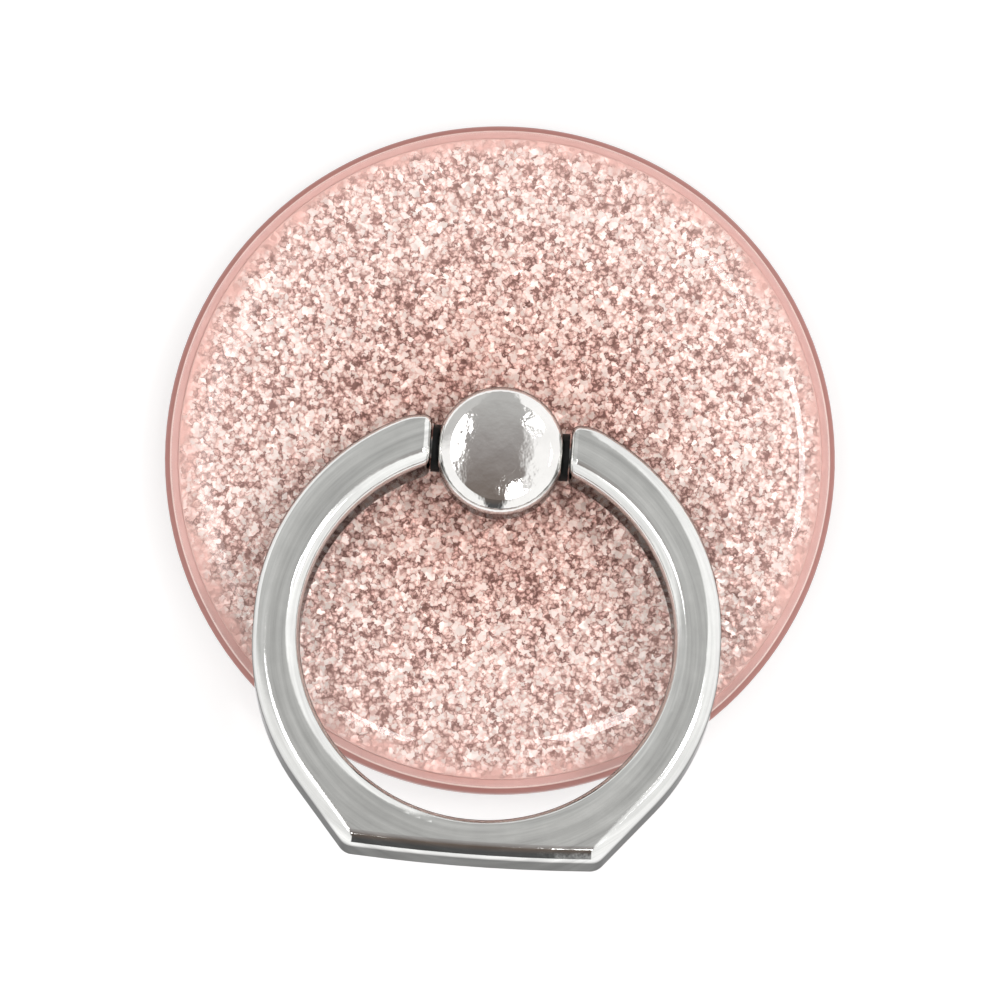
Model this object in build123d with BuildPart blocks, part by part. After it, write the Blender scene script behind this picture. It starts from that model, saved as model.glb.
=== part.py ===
from build123d import *
from math import hypot, sqrt
import os

# A finger ring that turns on a glitter disc: the disc sticks to the back of a phone, the post swivels
# in the disc, and the ring tips up and over on a pin through the post.
# Millimetres. The origin lies on the swivel axis in the adhesive face, with +Z away from the phone.
# The ring's foot points to -Y and the hinge pin lies along X.

# Disc: adhesive pad, moulded plate, glitter film and clear cover
plate_radius = 20.0
plate_edge_round = 0.4
plate_back_chamfer = 0.3
pad_inset = 1.4  # how far the pad's edge lies inside the plate's
pad_thickness = 0.8
web_thickness = 0.8  # what is left of the plate above the recess for the washers
cover_inset = 0.4  # rim of the plate that shows around the cover
cover_height = 1.3  # from the plate to the cover's top
cover_edge_height = 0.3  # straight edge below the rolled part
cover_roll_width = 3.6  # how far in from the edge the top starts to curve down
film_inset = 0.6  # clear band of the cover around the film
film_thickness = 0.15
film_fit = 0.05  # gap around the film in the cover's pocket
bond_line = 0.03  # glue layer between the cover and what it lies on

# Swivel post and what holds it in the disc
head_radius = 3.8
head_above_pin = 2.4
head_dome_rise = 0.4
head_edge_round = 1.0
head_foot_chamfer = 0.2
stem_radius = 1.6
stem_running_fit = 0.06
slip_washer_radius = 3.3
slip_washer_thickness = 0.25
spring_radius = 4.0
spring_thickness = 0.2
spring_cone = 0.25  # rise of the spring washer from its inner to its outer edge
spring_clearance = 0.03
retaining_washer_radius = 3.1
retaining_washer_thickness = 0.4
washer_bore_fit = 0.03  # gap between the stem and the washers that turn with it
peen_radius = 2.1
peen_height = 0.35
peen_clearance = 0.15  # gap between the peened end and the adhesive pad
recess_clearance = 0.4

# Hinge
pin_radius = 0.6
pin_running_fit = 0.03
pin_press_gap = 0.01
pin_engagement = 1.5  # length of pin held in each end of the ring
pin_end_gap = 0.1
pin_chamfer = 0.12
friction_washer_radius = 1.4
friction_washer_thickness = 0.7
friction_seat_depth = 0.45  # depth of the spot faces in the post
friction_seat_fit = 0.04
ring_end_gap = 0.08  # gap between each friction washer and the ring's end

# Finger ring
finger_hole_radius = 10.95
ring_band = 2.75  # width of the ring at its sides
side_straight = 1.0  # length of the straight part of the outline at the ring's sides
ring_thickness = 4.0
ring_edge_round = 0.85
knuckle_above_pin = 1.67  # metal beyond the pin, on the side away from the foot
knuckle_below_pin = 1.32  # metal between the pin and the finger hole
knuckle_blend = 3.0
foot_wall = 2.3  # metal between the finger hole and the foot
foot_width = 14.4
foot_curve_radius = 110.0  # the foot bows out very slightly
foot_corner_blend = 0.15  # how much rounder the foot's corners are than the ring's edges
end_round = 0.45  # rounding of the ring's ends beside the post
ring_raise = 10.0  # degrees that the ring stands up from the disc as it lies here
swing_clearance = 0.25  # gap between the disc and the ring's ends as they turn

# Heights that follow from the stack
spring_height = spring_thickness + spring_cone
recess_depth = (
    peen_clearance + peen_height + retaining_washer_thickness + spring_height + spring_clearance
)
plate_bottom = pad_thickness
recess_top = plate_bottom + recess_depth
plate_top = recess_top + web_thickness
film_top = plate_top + film_thickness
cover_bottom = plate_top + bond_line
cover_top = plate_top + cover_height
peen_bottom = plate_bottom + peen_clearance
peen_top = peen_bottom + peen_height
retaining_top = peen_top + retaining_washer_thickness
head_bottom = cover_top + slip_washer_thickness
knuckle_swing = ring_edge_round + hypot(
    knuckle_above_pin - ring_edge_round, ring_thickness / 2 - ring_edge_round
)
pin_height = cover_top + knuckle_swing + swing_clearance
head_top = pin_height + head_above_pin

# Radii and places that follow from the fits
pad_radius = plate_radius - pad_inset
cover_radius = plate_radius - cover_inset
film_radius = cover_radius - film_inset
stem_hole_radius = stem_radius + stem_running_fit
recess_radius = spring_radius + recess_clearance
turning_bore_radius = stem_radius + washer_bore_fit
pin_bore_radius = pin_radius + pin_running_fit
friction_seat = head_radius - friction_seat_depth
ring_end = friction_seat + friction_washer_thickness + ring_end_gap
pin_half_length = ring_end + pin_engagement
hole_drop = knuckle_below_pin + sqrt(finger_hole_radius**2 - ring_end**2)
ring_outer_radius = finger_hole_radius + ring_band
foot_drop = hole_drop + finger_hole_radius + foot_wall
foot_corner_round = ring_edge_round + foot_corner_blend

hinge_plane = Plane(origin=(0, 0, pin_height), z_dir=(1, 0, 0))
ring_plane = Plane.XY.offset(pin_height).rotated((-ring_raise, 0, 0))

os.makedirs("parts", exist_ok=True)

# Double-sided foam pad on the back of the disc
with BuildPart() as adhesive_pad:
    with BuildSketch(Plane.XY):
        Circle(pad_radius)
    extrude(amount=pad_thickness)

# Moulded plate: its rounded edge shows around the cover, and its recess holds the swivel's washers
with BuildPart() as base_plate:
    with BuildSketch(Plane.XY.offset(plate_bottom)):
        Circle(plate_radius)
    extrude(amount=plate_top - plate_bottom)
    plate_rims = base_plate.edges().sort_by(Axis.Z)
    fillet(plate_rims[-1], radius=plate_edge_round)
    chamfer(plate_rims[0], length=plate_back_chamfer)
    with BuildSketch(Plane.XY.offset(plate_bottom)):
        Circle(recess_radius)
    extrude(amount=recess_depth, mode=Mode.SUBTRACT)
    with BuildSketch(Plane.XY.offset(recess_top)):
        Circle(stem_hole_radius)
    extrude(amount=web_thickness, mode=Mode.SUBTRACT)

# Glitter film between the plate and the cover
with BuildPart() as glitter_film:
    with BuildSketch(Plane.XY.offset(plate_top)):
        Circle(film_radius)
        Circle(stem_hole_radius, mode=Mode.SUBTRACT)
    extrude(amount=film_thickness)

# Clear cover: flat in the middle, rolled down to a thin straight edge, with a pocket for the film below
with BuildPart() as clear_cover:
    roll_start = cover_radius - cover_roll_width
    edge_top = plate_top + cover_edge_height
    pocket_radius = film_radius + film_fit
    pocket_top = film_top + bond_line
    with BuildSketch(Plane.XZ):
        with BuildLine():
            Polyline(
                (roll_start, cover_top),
                (stem_hole_radius, cover_top),
                (stem_hole_radius, pocket_top),
                (pocket_radius, pocket_top),
                (pocket_radius, cover_bottom),
                (cover_radius, cover_bottom),
                (cover_radius, edge_top),
            )
            EllipticalCenterArc(
                (roll_start, edge_top),
                x_radius=cover_roll_width,
                y_radius=cover_top - edge_top,
                start_angle=0,
                arc_size=90,
            )
        make_face()
    revolve(axis=Axis.Z)

# Slip washer between the cover and the post's head
with BuildPart() as slip_washer:
    with BuildSketch(Plane.XY.offset(cover_top)):
        Circle(slip_washer_radius)
        Circle(stem_hole_radius, mode=Mode.SUBTRACT)
    extrude(amount=slip_washer_thickness)

# Swivel post: domed head with a cross bore and spot faces, and a stem peened over below the washers
with BuildPart() as swivel_post:
    head_rim = head_top - head_dome_rise
    with BuildSketch(Plane.XZ):
        with BuildLine():
            TangentArc((0, peen_bottom), (peen_radius, peen_top), tangent=(1, 0))
            Polyline(
                (peen_radius, peen_top),
                (stem_radius, peen_top),
                (stem_radius, head_bottom),
                (head_radius, head_bottom),
                (head_radius, head_rim),
            )
            TangentArc((0, head_top), (head_radius, head_rim), tangent=(1, 0))
            Line((0, head_top), (0, peen_bottom))
        make_face()
    revolve(axis=Axis.Z)
    head_wall = swivel_post.faces().filter_by(GeomType.CYLINDER).sort_by(SortBy.AREA)[-1]
    head_circles = head_wall.edges().filter_by(GeomType.CIRCLE).sort_by(Axis.Z)
    fillet(head_circles[-1], radius=head_edge_round)
    chamfer(head_circles[0], length=head_foot_chamfer)
    right_side = Plane(origin=(head_radius, 0, pin_height), z_dir=(1, 0, 0))
    left_side = Plane(origin=(-head_radius, 0, pin_height), z_dir=(-1, 0, 0))
    with Locations(right_side, left_side):
        CounterBoreHole(
            radius=pin_bore_radius,
            counter_bore_radius=friction_washer_radius + friction_seat_fit,
            counter_bore_depth=friction_seat_depth,
        )

# Conical spring washer that gives the swivel its drag
with BuildPart() as spring_washer:
    with BuildSketch(Plane.XZ):
        with BuildLine():
            Polyline(
                (turning_bore_radius, retaining_top),
                (spring_radius, retaining_top + spring_cone),
                (spring_radius, retaining_top + spring_cone + spring_thickness),
                (turning_bore_radius, retaining_top + spring_thickness),
                close=True,
            )
        make_face()
    revolve(axis=Axis.Z)

# Retaining washer that the peened end bears on
with BuildPart() as retaining_washer:
    with BuildSketch(Plane.XY.offset(peen_top)):
        Circle(retaining_washer_radius)
        Circle(turning_bore_radius, mode=Mode.SUBTRACT)
    extrude(amount=retaining_washer_thickness)


def friction_washer(seat_plane):
    """A flat washer that sits on one of the post's spot faces, around the pin."""
    with BuildPart() as washer:
        with BuildSketch(seat_plane):
            Circle(friction_washer_radius)
            Circle(pin_bore_radius, mode=Mode.SUBTRACT)
        extrude(amount=friction_washer_thickness)
    return washer


right_friction_washer = friction_washer(right_side.offset(-friction_seat_depth))
left_friction_washer = friction_washer(left_side.offset(-friction_seat_depth))

# Hinge pin, held in the ring's ends and turning in the post's cross bore
with BuildPart() as hinge_pin:
    with BuildSketch(hinge_plane.offset(-pin_half_length)):
        Circle(pin_radius)
    extrude(amount=2 * pin_half_length)
    chamfer(hinge_pin.edges().filter_by(GeomType.CIRCLE), length=pin_chamfer)

# Finger ring: a cast loop with a flat foot, open at the post, rounded all along its edges
with BuildPart() as finger_ring:
    with BuildSketch(ring_plane) as ring_outline:
        with BuildLine():
            Line((-foot_width / 2, -foot_drop), (foot_width / 2, -foot_drop))
        with Locations((0, -hole_drop)):
            SlotCenterToCenter(side_straight, 2 * ring_outer_radius, rotation=90)
        make_hull()
        with Locations((0, knuckle_above_pin)):
            Rectangle(
                2 * foot_drop,
                2 * foot_drop,
                align=(Align.CENTER, Align.MAX),
                mode=Mode.INTERSECT,
            )
        with Locations((0, foot_curve_radius - foot_drop)):
            Circle(foot_curve_radius, mode=Mode.INTERSECT)
        with Locations((0, -hole_drop)):
            Circle(finger_hole_radius, mode=Mode.SUBTRACT)
            Rectangle(
                2 * ring_end,
                2 * hole_drop,
                align=(Align.CENTER, Align.MIN),
                mode=Mode.SUBTRACT,
            )
        knuckle_corners = ring_outline.vertices().group_by(Axis.Y)[-1].sort_by(Axis.X)
        fillet([knuckle_corners[0], knuckle_corners[-1]], radius=knuckle_blend)
        fillet(ring_outline.vertices().group_by(Axis.Y)[0], radius=foot_corner_round)
    extrude(amount=ring_thickness / 2, both=True)
    ring_faces = finger_ring.faces().filter_by(Axis(ring_plane.origin, ring_plane.z_dir))
    end_edges = finger_ring.faces().filter_by(Axis.X).edges()
    fillet(ring_faces.edges() - end_edges, radius=ring_edge_round)
    fillet(finger_ring.faces().filter_by(Axis.X).edges(), radius=end_round)
    with BuildSketch(hinge_plane.offset(-pin_half_length - pin_end_gap)):
        Circle(pin_radius + pin_press_gap)
    extrude(amount=2 * (pin_half_length + pin_end_gap), mode=Mode.SUBTRACT)

pieces = {
    "adhesive_pad": adhesive_pad,
    "base_plate": base_plate,
    "glitter_film": glitter_film,
    "clear_cover": clear_cover,
    "slip_washer": slip_washer,
    "swivel_post": swivel_post,
    "spring_washer": spring_washer,
    "retaining_washer": retaining_washer,
    "right_friction_washer": right_friction_washer,
    "left_friction_washer": left_friction_washer,
    "hinge_pin": hinge_pin,
    "finger_ring": finger_ring,
}
for name, piece in pieces.items():
    piece.part.label = name
    export_step(piece.part, f"parts/{name}.step")
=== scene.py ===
import math

import bpy
from mathutils import Matrix, Vector


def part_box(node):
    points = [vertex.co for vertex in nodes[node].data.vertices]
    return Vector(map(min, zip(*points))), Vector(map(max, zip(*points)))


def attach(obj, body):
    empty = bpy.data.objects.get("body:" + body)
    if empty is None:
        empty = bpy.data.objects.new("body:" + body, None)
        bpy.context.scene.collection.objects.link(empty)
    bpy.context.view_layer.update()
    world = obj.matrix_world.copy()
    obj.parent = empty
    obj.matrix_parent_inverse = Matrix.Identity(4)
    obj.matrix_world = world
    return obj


# Looks of a phone ring holder: a pink glitter disc under a clear cover, a polished post and a finger ring.
# Lengths are metres in the model's own frame, written as millimetres times MM.
# The materials work in millimetres.

MM = 0.001

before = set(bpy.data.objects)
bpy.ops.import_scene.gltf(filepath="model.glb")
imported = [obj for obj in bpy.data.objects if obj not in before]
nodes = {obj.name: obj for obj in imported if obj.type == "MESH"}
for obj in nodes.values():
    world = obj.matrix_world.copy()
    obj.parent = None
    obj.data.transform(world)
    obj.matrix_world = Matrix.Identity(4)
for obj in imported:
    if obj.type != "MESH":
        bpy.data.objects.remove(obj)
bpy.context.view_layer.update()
scene = bpy.context.scene
scene.view_settings.view_transform = "Standard"
# Enough bounces for light that goes in and out of the clear cover
scene.cycles.max_bounces = 8
scene.cycles.diffuse_bounces = 3

# Camera
PICTURE_PIXELS = 1000
PIXELS_PER_MM = 16.75  # at the aim point
AIM_POINT = Vector((0, 0, 2.5 * MM))
AIM_PIXEL_Y = 459  # row of the picture where the aim point shows
CAMERA_DISTANCE = 400 * MM
CAMERA_TILT = math.radians(4.5)  # lean towards the ring's foot
CAMERA_ROLL = math.radians(4.2)  # the object shows turned clockwise by this much
SENSOR_WIDTH = 36.0

# Studio: floor, world and soft boxes
FLOOR_SIZE = 4.0
FLOOR_GAP = 0.01 * MM
STUDIO_RADIUS = 300 * MM

# Disc: glitter film, glue and clear cover
FLAKES_PER_MM = 3.6
RESIN = (0.82, 0.53, 0.48)
ACRYLIC_IOR = 1.46
FILM_GAP = 0.05 * MM  # between the film's edge and the cover's pocket, filled by a bead of glue
BOND_LINE = 0.03 * MM  # glue between the film and the cover
BEAD_CLEARANCE = 0.004 * MM  # keeps the bead's faces off its neighbours
BEAD_STEPS = 180

# Finger ring
RING_FACE_TILT = math.radians(10)  # the ring's flat faces lean back by this much as stored
RING_MIDDLE = (0.0, -11.3, 0.0)  # millimetres, middle of the ring's hole
STREAKS_PER_MM = 2.2  # fine polishing marks along the ring


def add_node(tree, kind, inputs=None, **settings):
    """Adds a shader node. inputs maps a socket's name or number to a value, or to a socket that feeds it."""
    node = tree.nodes.new("ShaderNode" + kind)
    for name, value in settings.items():
        setattr(node, name, value)
    for key, value in (inputs or {}).items():
        if isinstance(value, bpy.types.NodeSocket):
            tree.links.new(value, node.inputs[key])
        else:
            node.inputs[key].default_value = value
    return node


def math_node(tree, operation, *values, clamp=False):
    """A Math node's output, from plain values or sockets."""
    return add_node(tree, "Math", dict(enumerate(values)), operation=operation, use_clamp=clamp).outputs[0]


def vector_node(tree, operation, *values):
    """A Vector Math node's first output."""
    node = add_node(tree, "VectorMath", dict(enumerate(values)), operation=operation)
    return node.outputs["Value" if operation in ("DOT_PRODUCT", "LENGTH") else "Vector"]


def ramp_node(tree, factor, stops):
    """A colour ramp's output. stops lists (place, colour)."""
    node = add_node(tree, "ValToRGB", {"Fac": factor})
    ramp = node.color_ramp
    ramp.interpolation = "LINEAR"
    while len(ramp.elements) < len(stops):
        ramp.elements.new(1.0)
    for element, (place, colour) in zip(ramp.elements, stops):
        element.position = place
        element.color = (*colour, 1.0)
    return node.outputs["Color"]


def range_node(tree, value, low, high, to_low, to_high):
    """Maps a value from one range to another, clamped."""
    inputs = {"Value": value, "From Min": low, "From Max": high, "To Min": to_low, "To Max": to_high}
    return add_node(tree, "MapRange", inputs).outputs["Result"]


def new_material(name):
    """A material with an empty node tree and its output node."""
    material = bpy.data.materials.new(name)
    material.use_nodes = True
    tree = material.node_tree
    tree.nodes.clear()
    output = tree.nodes.new("ShaderNodeOutputMaterial")
    return material, tree, output


def object_mm(tree):
    """Places on the object, in millimetres."""
    place = add_node(tree, "TexCoord").outputs["Object"]
    return vector_node(tree, "MULTIPLY", place, (1 / MM,) * 3)


def distance_out(tree, place):
    """Distance from the swivel axis, in millimetres."""
    return vector_node(tree, "LENGTH", vector_node(tree, "MULTIPLY", place, (1, 1, 0)))


def noise_value(tree, place, scale, detail=3.0, roughness=0.5):
    """A noise texture's value at a scale per millimetre."""
    inputs = {"Vector": place, "Scale": scale, "Detail": detail, "Roughness": roughness}
    return add_node(tree, "TexNoise", inputs).outputs["Fac"]


def bump_normal(tree, height, strength, distance):
    """A bump node's normal."""
    inputs = {"Height": height, "Strength": strength, "Distance": distance}
    return add_node(tree, "Bump", inputs).outputs["Normal"]


def glitter_material():
    """Dense pink flakes with their own lean and tint, and painted glints at their cores.

    Painted shade darkens them around the post. Rose resin shows at the edge.
    """
    material, tree, output = new_material("glitter")
    place = object_mm(tree)
    # Ragged flakes: cells of a pattern that two noises push out of shape
    wander = add_node(tree, "TexNoise", {"Vector": place, "Scale": 2.4, "Detail": 2.0}).outputs["Color"]
    ruffle = add_node(tree, "TexNoise", {"Vector": place, "Scale": 7.0, "Detail": 1.0}).outputs["Color"]
    flake_place = vector_node(tree, "MULTIPLY_ADD", wander, (0.6, 0.6, 0.0), place)
    flake_place = vector_node(tree, "MULTIPLY_ADD", ruffle, (0.25, 0.25, 0.0), flake_place)
    cells = {"Vector": flake_place, "Scale": FLAKES_PER_MM}
    flakes = add_node(tree, "TexVoronoi", cells, voronoi_dimensions="2D")
    chance = add_node(tree, "SeparateColor", {"Color": flakes.outputs["Color"]})
    lean = vector_node(tree, "MULTIPLY_ADD", flakes.outputs["Color"], (0.5, 0.5, 0.0), (-0.25, -0.25, 0.0))
    surface_normal = add_node(tree, "NewGeometry").outputs["Normal"]
    normal = vector_node(tree, "NORMALIZE", vector_node(tree, "ADD", surface_normal, lean))
    # How bright a point is: its flake's own chance, less towards the flake's border, with a slow drift
    # That brightness is partly the flake's own tint and partly a painted glint, brightest at its core
    core = range_node(tree, flakes.outputs["Distance"], 0.1, 0.65, 0.0, 1.0)
    drift = noise_value(tree, place, 0.22, detail=1.0)
    glint = math_node(tree, "MULTIPLY_ADD", chance.outputs["Blue"], 1.15, 0.31)
    glint = math_node(tree, "MULTIPLY_ADD", core, -0.75, glint)
    glint = math_node(tree, "MULTIPLY_ADD", drift, 0.2, glint, clamp=True)
    # Dark rose to white: partly the flakes' own tint, partly painted reflections, the white end painted
    # glints
    tint = ramp_node(
        tree,
        glint,
        [
            (0.0, (0.24, 0.135, 0.12)),
            (0.17, (0.45, 0.295, 0.265)),
            (0.37, (0.65, 0.46, 0.42)),
            (0.62, (0.87, 0.67, 0.62)),
            (0.82, (0.98, 0.87, 0.82)),
            (1.0, (1.0, 0.98, 0.95)),
        ],
    )
    # Painted shade around the post, darker and deeper pink, and resin over the flakes towards the film's
    # edge
    ragged = math_node(tree, "MULTIPLY_ADD", noise_value(tree, place, 1.1), 3.0, distance_out(tree, place))
    # Painted shade, darkest near the post and gone by 17 mm out
    painted_light = ramp_node(
        tree,
        range_node(tree, ragged, 7.0, 17.0, 0.0, 1.0),
        [(0.0, (0.90, 0.76, 0.72)), (1.0, (1.0, 1.0, 1.0))],
    )
    shaded = add_node(tree, "MixRGB", {"Fac": 1.0, "Color1": tint, "Color2": painted_light}, blend_type="MULTIPLY")
    haze = range_node(tree, ragged, 11.0, 19.6, 0.0, 0.25)
    border = range_node(tree, ragged, 19.6, 20.6, 0.0, 0.75)
    cover_up = math_node(tree, "ADD", haze, border)
    layers = {"Fac": cover_up, "Color1": shaded.outputs[0], "Color2": (*RESIN, 1.0)}
    colour = add_node(tree, "MixRGB", layers)
    shader = add_node(
        tree,
        "BsdfPrincipled",
        {
            "Base Color": colour.outputs[0],
            "Metallic": 0.3,
            "Roughness": 0.32,
            "Specular IOR Level": 0.1,
            "Normal": normal,
        },
    )
    tree.links.new(shader.outputs[0], output.inputs["Surface"])
    return material


def clear_material():
    """Clear pink-tinted acrylic that the lamps shine through.

    Its lower faces are glued down, so the view passes straight through them and nothing is mirrored there.
    """
    material, tree, output = new_material("clear_acrylic")
    place = object_mm(tree)
    waves = bump_normal(tree, noise_value(tree, place, 0.25, detail=1.0), 0.10, 0.05 * MM)
    acrylic = add_node(
        tree,
        "BsdfPrincipled",
        {
            "Base Color": (1.0, 0.985, 0.98, 1.0),
            "Roughness": 0.0,
            "IOR": ACRYLIC_IOR,
            "Transmission Weight": 1.0,
            "Normal": waves,
        },
    )
    straight = add_node(tree, "BsdfTransparent", {"Color": (0.98, 0.96, 0.955, 1.0)})
    path = add_node(tree, "LightPath").outputs
    # Faces at the glue's height and inside the cover's edge, with a little slack
    glue_top = (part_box("glitter_film")[1][2] + BOND_LINE) / MM
    cover_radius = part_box("clear_cover")[1][0] / MM
    height = add_node(tree, "SeparateXYZ", {"Vector": place}).outputs["Z"]
    below = math_node(tree, "LESS_THAN", height, glue_top + 0.01)
    inside = math_node(tree, "LESS_THAN", distance_out(tree, place), cover_radius - 0.02)
    glued = math_node(tree, "MULTIPLY", below, inside)
    seen = math_node(tree, "SUBTRACT", glued, path["Is Diffuse Ray"], clamp=True)
    through = math_node(tree, "MAXIMUM", path["Is Shadow Ray"], seen)
    mix = add_node(tree, "MixShader", {0: through, 1: acrylic.outputs[0], 2: straight.outputs[0]})
    tree.links.new(mix.outputs[0], output.inputs["Surface"])
    return material


def plate_material():
    """Pink moulded plastic, with a painted highlight line beside the cover and painted shade at its edge."""
    material, tree, output = new_material("pink_plastic")
    place = object_mm(tree)
    painted_light = range_node(tree, distance_out(tree, place), 19.5, 19.8, 0.0, 1.0)
    cloud = noise_value(tree, place, 0.5, detail=2.0)
    shade = math_node(tree, "MULTIPLY_ADD", cloud, 0.12, math_node(tree, "SUBTRACT", painted_light, 0.06))
    # Its own pink under the cover, a painted highlight line beside the cover, painted shade at the outer
    # edge
    colour = ramp_node(
        tree,
        shade,
        [
            (0.0, (0.76, 0.46, 0.42)),
            (0.25, (1.0, 0.78, 0.72)),
            (0.5, (1.0, 0.78, 0.72)),
            (0.68, (0.46, 0.20, 0.175)),
        ],
    )
    grain = bump_normal(tree, noise_value(tree, place, 14.0), 0.05, 0.02 * MM)
    shader = add_node(
        tree,
        "BsdfPrincipled",
        {"Base Color": colour, "Roughness": 0.3, "Normal": grain},
    )
    tree.links.new(shader.outputs[0], output.inputs["Surface"])
    return material


def streak_value(tree, place):
    """Noise drawn out into long streaks around the middle of the ring's hole."""
    from_middle = vector_node(tree, "SUBTRACT", place, RING_MIDDLE)
    from_middle = vector_node(tree, "MULTIPLY", from_middle, (1, 1, 0))
    radius = vector_node(tree, "LENGTH", from_middle)
    streak_count = math_node(tree, "MULTIPLY", radius, STREAKS_PER_MM)
    across = add_node(tree, "CombineXYZ", {"Z": streak_count}).outputs[0]
    along = vector_node(tree, "NORMALIZE", from_middle)
    streak_place = vector_node(tree, "ADD", along, across)
    return noise_value(tree, streak_place, 1.0, detail=3.0, roughness=0.6)


def polished_metal(name, colour, waviness, face_normal=None):
    """Plated metal, slightly wavy and smudged.

    With face_normal it also has polishing streaks, and the faces that point along it are more satin.
    """
    material, tree, output = new_material(name)
    place = object_mm(tree)
    smudge = noise_value(tree, place, 0.7, detail=4.0, roughness=0.6)
    roughness = range_node(tree, smudge, 0.3, 0.7, 0.04, 0.09)
    tone = range_node(tree, smudge, 0.3, 0.7, 0.92, 1.0)
    if face_normal is not None:
        facing = vector_node(tree, "DOT_PRODUCT", add_node(tree, "TexCoord").outputs["Normal"], face_normal)
        satin = range_node(tree, math_node(tree, "ABSOLUTE", facing), 0.985, 0.998, 0.0, 0.04)
        roughness = math_node(tree, "ADD", roughness, satin)
        streaks = range_node(tree, streak_value(tree, place), 0.3, 0.7, 0.78, 1.1)
        tone = math_node(tree, "MULTIPLY", tone, streaks)
    tinted = vector_node(tree, "SCALE", colour)
    tree.links.new(tone, tinted.node.inputs["Scale"])
    waves = noise_value(tree, place, 0.9, detail=3.0, roughness=0.55)
    pits = noise_value(tree, place, 7.0, detail=2.0)
    height = math_node(tree, "MULTIPLY_ADD", pits, 0.04, waves)
    shader = add_node(
        tree,
        "BsdfPrincipled",
        {
            "Base Color": tinted,
            "Metallic": 1.0,
            "Roughness": roughness,
            "Specular Tint": (0.2, 0.2, 0.2, 1.0),
            "Normal": bump_normal(tree, height, waviness, 0.1 * MM),
        },
    )
    tree.links.new(shader.outputs[0], output.inputs["Surface"])
    return material


def plain_material(name, dark, light, scale, roughness, metallic=0.0, grain=0.1, specular=0.5):
    """A mottled two-tone material with a fine grain, for the small inner pieces."""
    material, tree, output = new_material(name)
    place = object_mm(tree)
    colour = ramp_node(tree, noise_value(tree, place, scale), [(0.3, dark), (0.7, light)])
    bump = bump_normal(tree, noise_value(tree, place, scale * 4), grain, 0.02 * MM)
    shader = add_node(
        tree,
        "BsdfPrincipled",
        {
            "Base Color": colour,
            "Metallic": metallic,
            "Roughness": roughness,
            "Specular IOR Level": specular,
            "Normal": bump,
        },
    )
    tree.links.new(shader.outputs[0], output.inputs["Surface"])
    return material


def floor_material():
    """White floor that keeps the shadow and shows white to the camera and in reflections."""
    material, tree, output = new_material("floor")
    diffuse = add_node(tree, "BsdfDiffuse", {"Color": (0.55, 0.55, 0.55, 1.0)})
    path = add_node(tree, "LightPath").outputs
    seen = math_node(tree, "ADD", path["Is Camera Ray"], path["Is Glossy Ray"], clamp=True)
    seen = math_node(tree, "ADD", seen, path["Is Transmission Ray"], clamp=True)
    lift = math_node(tree, "MULTIPLY", seen, 0.58)
    glow = add_node(tree, "Emission", {"Color": (1, 1, 1, 1), "Strength": lift})
    both = add_node(tree, "AddShader", {0: diffuse.outputs[0], 1: glow.outputs[0]})
    tree.links.new(both.outputs[0], output.inputs["Surface"])
    return material


def dress_nodes():
    """Gives each node of the frame its material."""
    steel = plain_material("steel", (0.42, 0.42, 0.42), (0.62, 0.62, 0.61), 1.5, 0.3, metallic=1.0)
    black = plain_material("black_nylon", (0.004,) * 3, (0.010,) * 3, 3.0, 0.55, specular=0.15)
    foam = plain_material("adhesive_foam", (0.72, 0.70, 0.67), (0.88, 0.86, 0.83), 2.5, 0.8, grain=0.4)
    face_normal = (0.0, math.sin(RING_FACE_TILT), math.cos(RING_FACE_TILT))
    looks = {
        "adhesive_pad": foam,
        "base_plate": plate_material(),
        "glitter_film": glitter_material(),
        "clear_cover": clear_material(),
        "slip_washer": plain_material("nylon", (0.70, 0.69, 0.66), (0.84, 0.83, 0.80), 2.0, 0.45),
        "swivel_post": polished_metal("polished_metal", (0.90, 0.885, 0.87), 0.25),
        "spring_washer": steel,
        "retaining_washer": steel,
        "hinge_pin": steel,
        "left_friction_washer": black,
        "right_friction_washer": black,
        "finger_ring": polished_metal("plated_metal", (0.90, 0.90, 0.885), 0.08, face_normal),
    }
    for name, material in looks.items():
        nodes[name].data.materials.clear()
        nodes[name].data.materials.append(material)


def add_glue_bead():
    """The bead of pink glue in the narrow gap around the film."""
    low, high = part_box("glitter_film")
    inner = high[0] + BEAD_CLEARANCE
    outer = high[0] + FILM_GAP - BEAD_CLEARANCE
    section = [(inner, low[2]), (outer, low[2]), (outer, high[2]), (inner, high[2])]
    points = []
    for step in range(BEAD_STEPS):
        angle = 2 * math.pi * step / BEAD_STEPS
        points += [(r * math.cos(angle), r * math.sin(angle), z) for r, z in section]
    faces = []
    for step in range(BEAD_STEPS):
        here, there = 4 * step, 4 * ((step + 1) % BEAD_STEPS)
        faces += [(here + k, there + k, there + (k + 1) % 4, here + (k + 1) % 4) for k in range(4)]
    mesh = bpy.data.meshes.new("film_glue")
    mesh.from_pydata(points, [], faces)
    bead = bpy.data.objects.new("film_glue", mesh)
    scene.collection.objects.link(bead)
    mesh.materials.append(plain_material("film_glue", RESIN, (0.90, 0.64, 0.59), 1.5, 0.3, grain=0.05))
    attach(bead, "base")


def add_floor():
    """A wide floor just below the adhesive face."""
    half = FLOOR_SIZE / 2
    mesh = bpy.data.meshes.new("floor")
    corners = [(-half, -half, 0), (half, -half, 0), (half, half, 0), (-half, half, 0)]
    mesh.from_pydata(corners, [], [(0, 1, 2, 3)])
    floor = bpy.data.objects.new("floor", mesh)
    floor.location.z = -FLOOR_GAP
    scene.collection.objects.link(floor)
    mesh.materials.append(floor_material())


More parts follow.
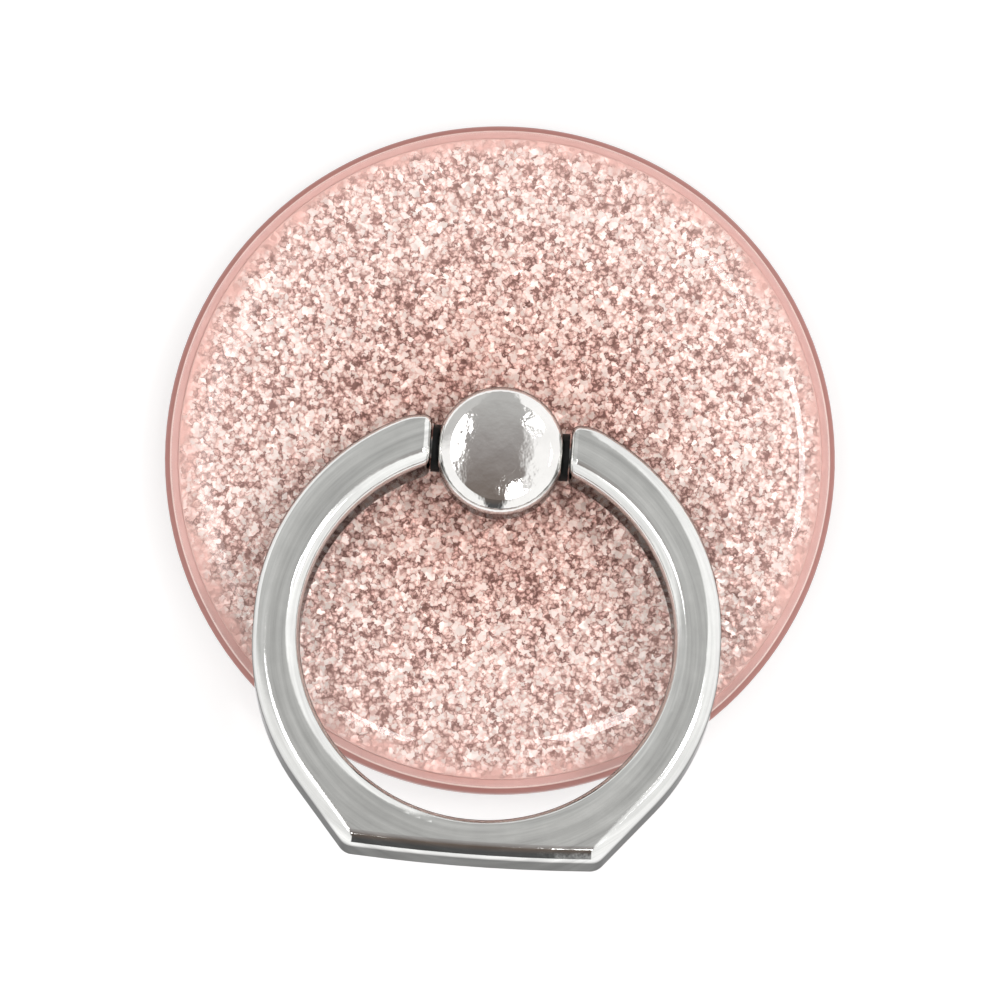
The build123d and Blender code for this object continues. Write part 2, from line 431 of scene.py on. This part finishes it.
def add_world():
    """Grey studio with white sides, and a dark strip from overhead down towards the ring's foot."""
    world = bpy.data.worlds.new("studio")
    world.use_nodes = True
    scene.world = world
    tree = world.node_tree
    direction = add_node(tree, "TexCoord").outputs["Generated"]
    axes = add_node(tree, "SeparateXYZ", {"Vector": direction}).outputs
    middle = ramp_node(
        tree,
        range_node(tree, axes["Y"], -0.8, 0.4, 0.0, 1.0),
        [
            (0.0, (0.09, 0.09, 0.09)),
            (0.45, (0.16, 0.125, 0.105)),
            (0.75, (0.34, 0.32, 0.31)),
            (1.0, (0.53, 0.53, 0.52)),
        ],
    )
    off_centre = math_node(tree, "ABSOLUTE", math_node(tree, "ADD", axes["X"], 0.04))
    strip_edge = range_node(tree, axes["Y"], -0.6, 0.0, 0.10, 0.18)
    beside = range_node(tree, math_node(tree, "SUBTRACT", off_centre, strip_edge), 0.0, 0.08, 0.0, 1.0)
    right_side = range_node(tree, axes["X"], -0.1, 0.1, 0.0, 1.0)
    front = range_node(tree, axes["Y"], 0.02, 0.25, 1.0, 0.0)
    bright = math_node(tree, "MAXIMUM", right_side, front)
    sides = ramp_node(tree, bright, [(0.0, (0.62, 0.62, 0.61)), (1.0, (1.08, 1.08, 1.07))])
    colour = add_node(tree, "MixRGB", {"Fac": beside, "Color1": middle, "Color2": sides})
    tree.links.new(colour.outputs["Color"], tree.nodes["Background"].inputs["Color"])


def add_soft_box(name, azimuth, zenith, width, height, radiance):
    """A rectangular lamp that faces the disc, placed by its angles and sized by the angles that it spans.

    Angles are in degrees. Azimuth is counterclockwise from +X, and zenith is measured down from overhead.
    """
    around, down = math.radians(azimuth), math.radians(zenith)
    toward = Vector((math.cos(around) * math.sin(down), math.sin(around) * math.sin(down), math.cos(down)))
    lamp = bpy.data.lights.new(name, "AREA")
    lamp.shape = "RECTANGLE"
    lamp.size = 2 * STUDIO_RADIUS * math.tan(math.radians(width / 2))
    lamp.size_y = 2 * STUDIO_RADIUS * math.tan(math.radians(height / 2))
    lamp.energy = radiance * math.pi * lamp.size * lamp.size_y
    box = bpy.data.objects.new(name, lamp)
    box.location = AIM_POINT + toward * STUDIO_RADIUS
    box.rotation_mode = "QUATERNION"
    box.rotation_quaternion = toward.to_track_quat("Z", "Y")
    scene.collection.objects.link(box)


def add_camera():
    """A long lens that looks almost straight down on the disc."""
    back = Vector((0, -math.sin(CAMERA_TILT), math.cos(CAMERA_TILT)))
    right = Vector((1, 0, 0))
    up = back.cross(right)
    picture_right = right * math.cos(CAMERA_ROLL) + up * math.sin(CAMERA_ROLL)
    picture_up = up * math.cos(CAMERA_ROLL) - right * math.sin(CAMERA_ROLL)
    pixel = MM / PIXELS_PER_MM
    drop = (PICTURE_PIXELS / 2 - AIM_PIXEL_Y) * pixel
    lens = bpy.data.cameras.new("camera")
    lens.sensor_width = SENSOR_WIDTH
    lens.lens = SENSOR_WIDTH * CAMERA_DISTANCE / (PICTURE_PIXELS * pixel)
    camera = bpy.data.objects.new("camera", lens)
    turn = Matrix((picture_right, picture_up, back)).transposed()
    place = AIM_POINT + back * CAMERA_DISTANCE - picture_up * drop
    camera.matrix_world = Matrix.Translation(place) @ turn.to_4x4()
    scene.collection.objects.link(camera)
    scene.camera = camera


dress_nodes()
add_glue_bead()
add_floor()
add_world()
# The highlights on the cover's rolled edge and on the post
add_soft_box("left_sheen", azimuth=166, zenith=20, width=24, height=10, radiance=2.5)
add_soft_box("right_lamp", azimuth=14, zenith=27, width=14, height=5, radiance=11)
add_soft_box("far_right_lamp", azimuth=54, zenith=20, width=5, height=4, radiance=8)
add_soft_box("near_right_lamp", azimuth=-57, zenith=12, width=5, height=6, radiance=11)
add_soft_box("near_left_lamp", azimuth=-115, zenith=18.5, width=5, height=4, radiance=11)
add_camera()
